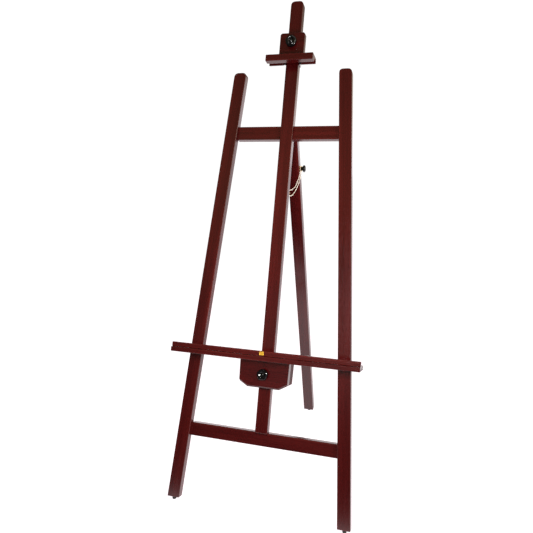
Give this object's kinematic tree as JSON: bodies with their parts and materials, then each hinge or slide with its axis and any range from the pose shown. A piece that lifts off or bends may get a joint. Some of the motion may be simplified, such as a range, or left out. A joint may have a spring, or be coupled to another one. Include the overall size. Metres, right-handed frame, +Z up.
{
  "type": "artist easel",
  "caption": "Folding A-frame easel of stained hardwood with a sliding canvas shelf and top holder on a central mast, clamped by knobs.",
  "frame": {"origin": "on the floor at the middle of the footprint's bounding box", "axes": "+Z up, -Y towards the artist (the canvas side), +X to the right seen from the front"},
  "size_m": [0.6518, 0.7514, 1.6709],
  "materials": {
    "mahogany": "dark mahogany-red stain on straight-grained hardwood, satin lacquer",
    "dowel_wood": "unfinished fluted hardwood dowel",
    "black_plastic": "moulded, glossy black",
    "rubber": "matt black rubber",
    "brass": "plated, satin",
    "label_brass": "blank gold-coloured plate",
    "steel": "zinc plated",
    "cord": "braided cotton, cream"
  },
  "bodies": {
    "front_frame": {"left_leg": "mahogany", "right_leg": "mahogany", "upper_crossbar": "mahogany", "lower_crossbar": "mahogany", "mast": "mahogany", "upper_dowel_left": "dowel_wood", "upper_dowel_right": "dowel_wood", "lower_dowel_left": "dowel_wood", "lower_dowel_right": "dowel_wood", "mast_screw_1": "steel", "mast_screw_2": "steel", "screw_eye": "brass", "hinge_leaf_fixed": "brass", "hinge_pin": "steel", "hinge_screw_bar_1": "brass", "hinge_screw_bar_2": "brass", "left_leg_glide": "rubber", "right_leg_glide": "rubber", "stay_cord": "cord"},
    "rear_leg": {"rear_leg": "mahogany", "hinge_leaf_leg": "brass", "hinge_screw_leg_1": "brass", "hinge_screw_leg_2": "brass", "stay_bolt": "steel", "stay_washer_inner": "brass", "stay_washer_outer": "brass", "rear_leg_glide": "rubber"},
    "stay_knob": {"stay_knob": "black_plastic"},
    "shelf": {"shelf_ledge": "mahogany", "shelf_lip": "mahogany", "label_plate": "label_brass", "shelf_block": "mahogany", "shelf_insert": "brass", "shelf_cheek_left": "mahogany", "shelf_cheek_right": "mahogany", "shelf_back_plate": "mahogany", "plate_screw_1": "steel", "plate_screw_2": "steel", "plate_screw_3": "steel", "plate_screw_4": "steel", "ledge_screw_1": "steel", "ledge_screw_2": "steel"},
    "shelf_knob": {"shelf_knob": "black_plastic", "shelf_knob_stud": "steel"},
    "holder": {"holder_block": "mahogany", "holder_insert": "brass", "holder_lip": "mahogany", "holder_cheek_left": "mahogany", "holder_cheek_right": "mahogany", "holder_strap": "steel", "strap_screw_1": "steel", "strap_screw_2": "steel", "holder_lip_screw_1": "steel", "holder_lip_screw_2": "steel"},
    "holder_knob": {"holder_knob": "black_plastic", "holder_knob_stud": "steel"}
  },
  "joints": [
    {"name": "rear_leg_fold", "type": "hinge", "parent": "front_frame", "child": "rear_leg", "pos_m": [0, 0.08372, 1.25347], "axis": [-1, 0, 0], "range_deg": [0, 30.3], "deforming": ["stay_cord"]},
    {"name": "stay_knob_turn", "type": "hinge", "parent": "rear_leg", "child": "stay_knob", "pos_m": [0.034, 0.12835, 1.11472], "axis": [1, 0, 0], "range_deg": [0, 360]},
    {"name": "shelf_slide", "type": "slide", "parent": "front_frame", "child": "shelf", "axis": [0, 0.3173, 0.9483], "range_m": [-0.15, 0.56]},
    {"name": "shelf_knob_turn", "type": "hinge", "parent": "shelf", "child": "shelf_knob", "pos_m": [0, -0.26517, 0.47073], "axis": [0, -0.9483, 0.3173], "range_deg": [0, 360]},
    {"name": "holder_slide", "type": "slide", "parent": "front_frame", "child": "holder", "axis": [0, 0.3173, 0.9483], "range_m": [-0.21, 0.17]},
    {"name": "holder_knob_turn", "type": "hinge", "parent": "holder", "child": "holder_knob", "pos_m": [0, 0.094, 1.5316], "axis": [0, -0.9483, 0.3173], "range_deg": [0, 360]}
  ]
}
